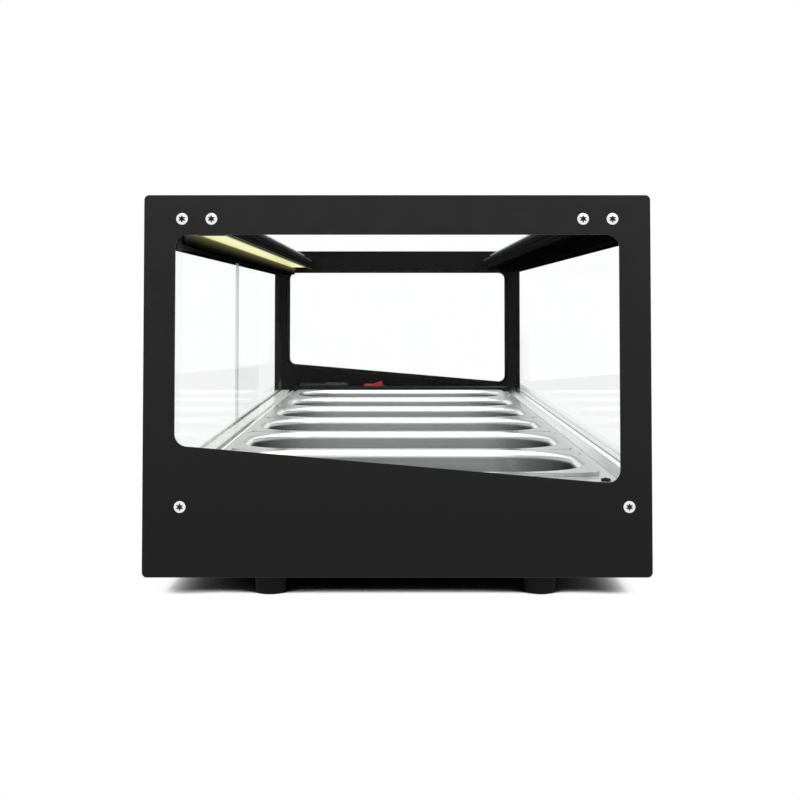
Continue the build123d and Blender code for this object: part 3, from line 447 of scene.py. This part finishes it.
looks = {
    panel_black: ["left_end_panel", "right_end_panel"],
    beam_front: ["front_top_beam"],
    beam_service: ["service_top_beam"],
    sheet_black: ["front_skirt", "service_skirt", "base_tray", "control_console"],
    clear_end: ["left_end_glass", "right_end_glass"],
    clear_top: ["top_glass"],
    clear_front: ["front_glass"],
    clear_door: ["left_door_glass", "right_door_glass"],
    seal_pale: ["top_glass_seals", "front_glass_gaskets"],
    rail_metal: ["front_sill_rail"],
    track_white: ["door_track"],
    lamp_metal: ["lamp_channel"],
    clear_pull: ["left_door_pull", "right_door_pull"],
    deck_steel: ["deck_frame"],
    bar_steel: [f"pan_bar_{i}" for i in range(1, 6)],
    pan_steel: [f"pan_{i}" for i in range(1, 7)],
    tank_steel: ["water_tank", "drain_spigot", "element_supports"],
    element_steel: ["heating_element", "thermostat_probe"],
    zinc: ["element_nuts", "foot_studs", "base_screws"],
    screw_steel: ["end_panel_screws"],
    fibre: ["tank_insulation"],
    foot_rubber: ["feet"],
    black_plastic: [
        "drain_cap",
        "thermostat_case",
        "switch_housing",
        "cable_gland",
        "terminal_block",
        "lamp_end_caps",
    ],
    button_plastic: ["set_button", "up_button", "down_button"],
    red_plastic: ["switch_rocker"],
    window_plastic: ["thermostat_window"],
    nylon: ["left_door_glides", "right_door_glides"],
    board_white: ["led_board"],
    opal: ["lamp_diffuser"],
    driver_white: ["led_driver"],
}
for mat, names in looks.items():
    for name in names:
        for slot in nodes[name].material_slots:
            slot.material = mat


# Mesh helpers


def finish_piece(bm, name, mat, body, smooth=True):
    """Turns a bmesh into a piece that rides on a body."""
    mesh = bpy.data.meshes.new(name)
    bmesh.ops.recalc_face_normals(bm, faces=bm.faces)
    for face in bm.faces:
        face.smooth = smooth
    bm.to_mesh(mesh)
    bm.free()
    piece = bpy.data.objects.new(name, mesh)
    bpy.context.collection.objects.link(piece)
    mesh.materials.append(mat)
    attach(piece, body)
    return piece


def add_dome(bm, centre, radius, height, rings=5, around=20):
    """Low dome on a level surface, closed underneath."""
    rows = []
    for i in range(rings):
        turn = math.pi / 2 * i / rings
        reach, rise = radius * math.cos(turn), height * math.sin(turn)
        row = []
        for j in range(around):
            angle = 2 * math.pi * j / around
            at = Vector((reach * math.cos(angle), reach * math.sin(angle), rise))
            row.append(bm.verts.new(Vector(centre) + at))
        rows.append(row)
    top = bm.verts.new(Vector(centre) + Vector((0, 0, height)))
    for low, high in zip(rows, rows[1:]):
        for j in range(around):
            k = (j + 1) % around
            bm.faces.new((low[j], low[k], high[k], high[j]))
    for j in range(around):
        bm.faces.new((rows[-1][j], rows[-1][(j + 1) % around], top))
    bm.faces.new(list(reversed(rows[0])))


def add_slab(bm, points, thickness, place_at):
    """Flat outline of (x, y) points given a thickness along Z, then placed by a matrix."""
    low = [bm.verts.new(place_at @ Vector((x, y, 0))) for x, y in points]
    high = [bm.verts.new(place_at @ Vector((x, y, thickness))) for x, y in points]
    count = len(points)
    bm.faces.new(list(reversed(low)))
    bm.faces.new(high)
    for i in range(count):
        k = (i + 1) % count
        bm.faces.new((low[i], low[k], high[k], high[i]))


# Rivets along the deck's two long edges, and the rubber clips at its near corners

RIVET_R = 2.4 * MM
RIVET_H = 0.9 * MM
RIVET_PITCH = 200 * MM
RIVET_FIRST = -362 * MM
RIVET_COUNT = 5
RIVET_INSETS = (4.5 * MM, 4.0 * MM)
CLIP_X = -565 * MM
CLIP_HALF = (3 * MM, 3.6 * MM)
CLIP_CHAMFER = 1.2 * MM
CLIP_HEIGHT = 1.8 * MM
CLIP_INSET = 11.5 * MM
CLIP_DOME = (2.2 * MM, 0.8 * MM)
deck_low, deck_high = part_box("deck_frame")
bm = bmesh.new()
for i in range(RIVET_COUNT):
    x = RIVET_FIRST + RIVET_PITCH * i
    for y in (deck_low[1] + RIVET_INSETS[0], deck_high[1] - RIVET_INSETS[1]):
        add_dome(bm, (x, y, deck_high[2]), RIVET_R, RIVET_H)
finish_piece(bm, "deck_rivets", zinc, "cabinet")

bm = bmesh.new()
half_x, half_y = CLIP_HALF
short_x, short_y = half_x - CLIP_CHAMFER, half_y - CLIP_CHAMFER
outline = [(half_x, -short_y), (half_x, short_y), (short_x, half_y), (-short_x, half_y)]
outline += [(-x, -y) for x, y in outline]
for y in (deck_low[1] + CLIP_INSET, deck_high[1] - CLIP_INSET):
    add_slab(bm, outline, CLIP_HEIGHT, Matrix.Translation((CLIP_X, y, deck_high[2])))
    add_dome(bm, (CLIP_X, y, deck_high[2] + CLIP_HEIGHT), *CLIP_DOME)
finish_piece(bm, "deck_clips", foot_rubber, "cabinet", smooth=False)


# Display digits (unlit), marks on the buttons and on the rocker; they read from the blank end


def bar_points(centre, size):
    """Corners of a rectangle."""
    (x, y), (a, b) = centre, (size[0] / 2, size[1] / 2)
    return [(x - a, y - b), (x + a, y - b), (x + a, y + b), (x - a, y + b)]


def add_ring(bm, radius, width, thickness, place_at, around=24):
    """Flat ring made of short slabs."""
    inner = radius - width
    for i in range(around):
        turns = [2 * math.pi * (i + k) / around for k in (0, 1)]
        rims = [(radius * math.cos(t), radius * math.sin(t)) for t in turns]
        rims += [(inner * math.cos(t), inner * math.sin(t)) for t in reversed(turns)]
        add_slab(bm, rims, thickness, place_at)


SKIN = 0.12 * MM
DIGIT_LENGTH = 8.0 * MM
DIGIT_WIDTH = 4.4 * MM
STROKE = 0.8 * MM
STROKE_GAP = 1.3 * STROKE
DIGIT_PITCH = 8.5 * MM
POINT_GAP = 1.4 * MM
ARROW = [(1.9 * MM, 0.0), (-1.3 * MM, 1.9 * MM), (-1.3 * MM, -1.9 * MM)]
SET_RING = (1.9 * MM, 0.6 * MM)


def top_of(name):
    """Middle of the top of a node's box."""
    low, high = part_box(name)
    return Vector(((low[0] + high[0]) / 2, (low[1] + high[1]) / 2, high[2]))


bm = bmesh.new()
reach, side = DIGIT_LENGTH / 2, DIGIT_WIDTH / 2
for step in (-1, 0, 1):
    flat = Matrix.Translation(top_of("thermostat_window") + Vector((0, step * DIGIT_PITCH, 0)))
    for level in (-reach, 0.0, reach):
        add_slab(bm, bar_points((level, 0.0), (STROKE, DIGIT_WIDTH - STROKE_GAP)), SKIN, flat)
    for x in (-reach / 2, reach / 2):
        for y in (-side, side):
            add_slab(bm, bar_points((x, y), (reach - STROKE_GAP, STROKE)), SKIN, flat)
    add_slab(bm, bar_points((-reach, -side - POINT_GAP), (STROKE, STROKE)), SKIN, flat)
finish_piece(bm, "display_digits", digit_grey, "cabinet", smooth=False)

for button, turn in (("up_button", 0.0), ("down_button", math.pi)):
    bm = bmesh.new()
    at = Matrix.Translation(top_of(button)) @ Matrix.Rotation(turn, 4, "Z")
    add_slab(bm, ARROW, SKIN, at)
    finish_piece(bm, button + "_mark", mark_white, button, smooth=False)
bm = bmesh.new()
add_ring(bm, *SET_RING, SKIN, Matrix.Translation(top_of("set_button")))
finish_piece(bm, "set_button_mark", mark_white, "set_button", smooth=False)

ROCKER_PIVOT = (552 * MM, 38 * MM, 98.5 * MM)
ROCKER_TILT = math.radians(-9.0)
FACE_RISE = 4.0 * MM
FACE_SLOPE = 0.16438
MARK_AT = 8.5 * MM
MARK_BAR = (5.4 * MM, 1.1 * MM)
MARK_RING = (2.8 * MM, 1.0 * MM)
bm = bmesh.new()
for side in (-1, 1):
    at = Matrix.Translation(ROCKER_PIVOT) @ Matrix.Rotation(ROCKER_TILT, 4, "X")
    at = at @ Matrix.Translation((0.0, side * MARK_AT, FACE_RISE + FACE_SLOPE * MARK_AT))
    at = at @ Matrix.Rotation(side * math.atan(FACE_SLOPE), 4, "X")
    if side < 0:
        add_slab(bm, bar_points((0.0, 0.0), MARK_BAR), SKIN, at)
    else:
        add_ring(bm, *MARK_RING, SKIN, at)
finish_piece(bm, "rocker_marks", mark_white, "rocker", smooth=False)


# Light, floor and camera


def sharp_ray(tree):
    """1 for camera, glossy and transmission rays, which see the plain white studio."""
    path = tree.nodes.new("ShaderNodeLightPath")
    seen = math_node(tree, "MAXIMUM", path.outputs["Is Camera Ray"], path.outputs["Is Glossy Ray"])
    return math_node(tree, "MAXIMUM", seen, path.outputs["Is Transmission Ray"])


world = bpy.data.worlds.new("studio")
bpy.context.scene.world = world
world.use_nodes = True
tree = world.node_tree
background = next(n for n in tree.nodes if n.type == "BACKGROUND")
background.inputs["Color"].default_value = (1.0, 1.0, 1.0, 1.0)
sharp = sharp_ray(tree)
sky = tree.nodes.new("ShaderNodeSeparateXYZ")
coords = tree.nodes.new("ShaderNodeTexCoord")
tree.links.new(coords.outputs["Generated"], sky.inputs[0])
fill = span(tree, sky.outputs[2], 0.35, 0.95, 0.0, 0.9)
strength = tree.nodes.new("ShaderNodeMix")
tree.links.new(sharp, strength.inputs[0])
tree.links.new(fill, strength.inputs[2])
strength.inputs[3].default_value = 1.0
tree.links.new(strength.outputs[0], background.inputs["Strength"])


def area_light(name, at, aim, size, watts):
    """Soft rectangular lamp that the camera doesn't see."""
    data = bpy.data.lights.new(name, "AREA")
    data.shape = "RECTANGLE"
    data.size, data.size_y = size
    data.energy = watts
    lamp = bpy.data.objects.new(name, data)
    lamp.location = at
    lamp.rotation_euler = (Vector(aim) - Vector(at)).to_track_quat("-Z", "Y").to_euler()
    lamp.visible_camera = False
    bpy.context.collection.objects.link(lamp)


area_light("overhead", (0.0, 0.0, 2.6), (0.0, 0.0, 0.0), (4.0, 3.0), 46.0)
area_light("front_top", (-2.6, -0.6, 1.9), (0.0, 0.0, 0.2), (1.6, 1.2), 8.0)

bm = bmesh.new()
bmesh.ops.create_grid(bm, x_segments=1, y_segments=1, size=40.0)
mesh = bpy.data.meshes.new("floor")
bm.to_mesh(mesh)
bm.free()
floor = bpy.data.objects.new("floor", mesh)
bpy.context.collection.objects.link(floor)
floor_mat, tree, shader = start_material("floor_white")
tree.nodes.remove(shader)

OPEN_REACH = 0.4
OPEN_SAMPLES = 64
AHEAD_TILT = math.radians(72)
SIDE_FADE_Y = (0.13, 0.2)
SIDE_SHADOW_DEPTH = 0.18
NEAR_FLOOR = {"x": 0.66, "y": 0.28}
AROUND_STOPS = ((0.03, 0.0), (0.12, 0.04), (0.22, 0.17), (0.37, 0.5), (0.47, 1.0))
AHEAD_STOPS = ((0.53, 0.0), (0.565, 0.03), (0.59, 0.24), (0.62, 0.94), (0.642, 1.0))


def openness(tree, tilt, stops, side_shadow_depth=0.0):
    """How open a floor point is, through (position, brightness) stops, with a painted shadow that
    grows towards the sides.
    """
    node = tree.nodes.new("ShaderNodeAmbientOcclusion")
    node.samples = OPEN_SAMPLES
    node.inputs["Distance"].default_value = OPEN_REACH
    direction = tree.nodes.new("ShaderNodeCombineXYZ")
    direction.inputs[0].default_value = -math.sin(tilt)
    direction.inputs[2].default_value = math.cos(tilt)
    tree.links.new(direction.outputs[0], node.inputs["Normal"])
    ramp = tree.nodes.new("ShaderNodeValToRGB")
    while len(ramp.color_ramp.elements) < len(stops):
        ramp.color_ramp.elements.new(0.5)
    for element, (position, level) in zip(ramp.color_ramp.elements, stops):
        element.position = position
        element.color = (level, level, level, 1.0)
    # Painted shadow: the openness is lowered by position towards the sides.
    side = span(tree, axis_value(tree, "y", True), 0.0, 1.0, *SIDE_FADE_Y)
    painted_side_shadow = math_node(tree, "MULTIPLY", math_node(tree, "POWER", side, 2.0), side_shadow_depth)
    tree.links.new(math_node(tree, "SUBTRACT", node.outputs["AO"], painted_side_shadow), ramp.inputs[0])
    return ramp.outputs[0]


around = openness(tree, 0.0, AROUND_STOPS)
ahead = openness(tree, AHEAD_TILT, AHEAD_STOPS, SIDE_SHADOW_DEPTH)
# The floor that camera, glossy and transmission rays see is an emission whose shadow is painted
# from these occlusion ramps.
seen_floor = tree.nodes.new("ShaderNodeEmission")
tree.links.new(math_node(tree, "MAXIMUM", around, ahead), seen_floor.inputs["Color"])
far_floor = tree.nodes.new("ShaderNodeEmission")
close = [
    math_node(tree, "LESS_THAN", axis_value(tree, axis, True), limit)
    for axis, limit in NEAR_FLOOR.items()
]
studio = tree.nodes.new("ShaderNodeMixShader")
tree.links.new(math_node(tree, "MULTIPLY", *close), studio.inputs[0])
tree.links.new(far_floor.outputs[0], studio.inputs[1])
tree.links.new(seen_floor.outputs[0], studio.inputs[2])
plain_floor = tree.nodes.new("ShaderNodeBsdfDiffuse")
plain_floor.inputs["Color"].default_value = (0.55, 0.55, 0.55, 1.0)
mix = tree.nodes.new("ShaderNodeMixShader")
tree.links.new(sharp_ray(tree), mix.inputs[0])
tree.links.new(plain_floor.outputs[0], mix.inputs[1])
tree.links.new(studio.outputs[0], mix.inputs[2])
tree.links.new(mix.outputs[0], output_of(tree).inputs["Surface"])
mesh.materials.append(floor_mat)

camera_data = bpy.data.cameras.new("camera")
camera_data.sensor_width = 36.0
camera_data.lens = 60.88
camera_data.shift_x = 0.00342
camera_data.shift_y = -0.18405
camera = bpy.data.objects.new("camera", camera_data)
camera.location = (-1.6416, 0.0, 0.23197)
camera.rotation_euler = (math.pi / 2 + 0.0378, 0.0, -math.pi / 2)
bpy.context.collection.objects.link(camera)
bpy.context.scene.camera = camera
bpy.context.scene.view_settings.view_transform = "Standard"
